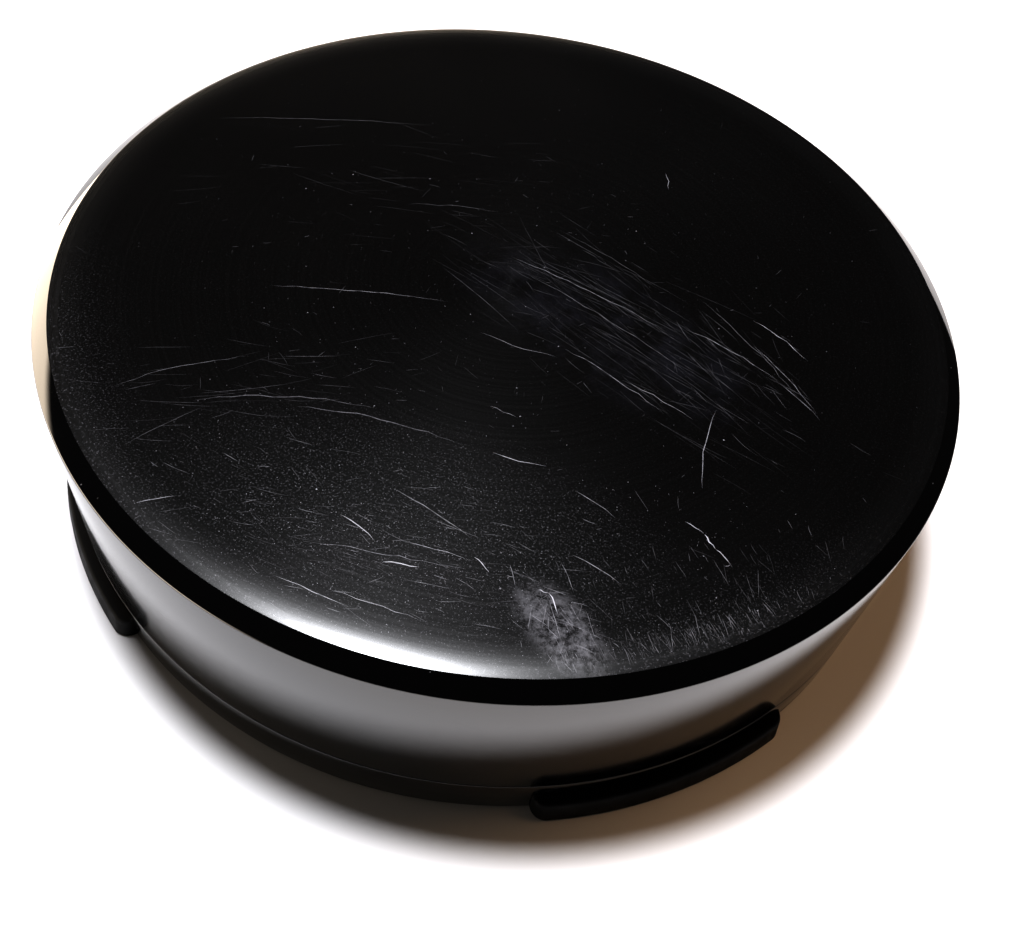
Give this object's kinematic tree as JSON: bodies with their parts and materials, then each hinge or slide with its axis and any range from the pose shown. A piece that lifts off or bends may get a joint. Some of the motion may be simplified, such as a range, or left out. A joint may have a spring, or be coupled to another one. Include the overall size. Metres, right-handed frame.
{
  "type": "handheld bearing compass",
  "caption": "Slim round hand bearing compass lying face down: glossy case, lobed turning bezel, clear window, liquid-filled bowl and a free-turning card on a jewelled pivot.",
  "frame": {"origin": "middle of the resting plane, under the bezel, on the axis of the card and the bezel", "axes": "+Z out of the flat back of the case, along the common axis; +Y towards the lubber post, the sighting direction"},
  "size_m": [0.075, 0.075, 0.0194],
  "materials": {
    "case_gloss": "polished black, fine turned lines on the flat back",
    "frame_alloy": "black anodised, turned",
    "seal_rubber": "matt nitrile",
    "cushion_foam": "soft closed-cell foam",
    "bezel_matt": "moulded black, matt",
    "luminous": "luminous inlay",
    "steel": "spring steel",
    "window_clear": "clear acrylic, polished",
    "bowl_white": "white moulding",
    "brass": "thin rolled sheet",
    "lubber_red": "red enamel",
    "card_black": "matt black card with white print",
    "jewel": "polished synthetic sapphire",
    "magnet": "plated bar magnet"
  },
  "bodies": {
    "case": {"case_shell": "case_gloss", "case_frame": "frame_alloy", "case_o_ring": "seal_rubber", "back_cushion": "cushion_foam", "bezel_retaining_ring": "steel", "clamp_ring": "frame_alloy", "window_washer": "seal_rubber", "front_window": "window_clear", "window_gasket": "seal_rubber", "bowl": "bowl_white", "bowl_seat_gasket": "seal_rubber", "diaphragm": "brass", "diaphragm_clamp_ring": "brass", "diaphragm_screw_1": "steel", "diaphragm_screw_2": "steel", "diaphragm_screw_3": "steel", "diaphragm_screw_4": "steel", "filler_plug": "brass", "filler_washer": "seal_rubber", "glow_ring": "luminous", "lubber_post": "lubber_red", "pivot_post": "brass", "pivot_pin": "steel"},
    "bezel": {"bezel_ring": "bezel_matt", "bezel_index": "luminous"},
    "card": {"compass_card": "card_black", "card_float": "bowl_white", "card_hub": "brass", "pivot_jewel": "jewel", "card_magnet_left": "magnet", "card_magnet_right": "magnet"}
  },
  "joints": [
    {"name": "bezel_turn", "type": "hinge", "parent": "case", "child": "bezel", "pos_m": [0, 0, 0.00195], "axis": [0, 0, 1], "continuous": true},
    {"name": "card_spin", "type": "hinge", "parent": "case", "child": "card", "pos_m": [0, 0, 0.0098], "axis": [0, 0, 1], "continuous": true}
  ]
}
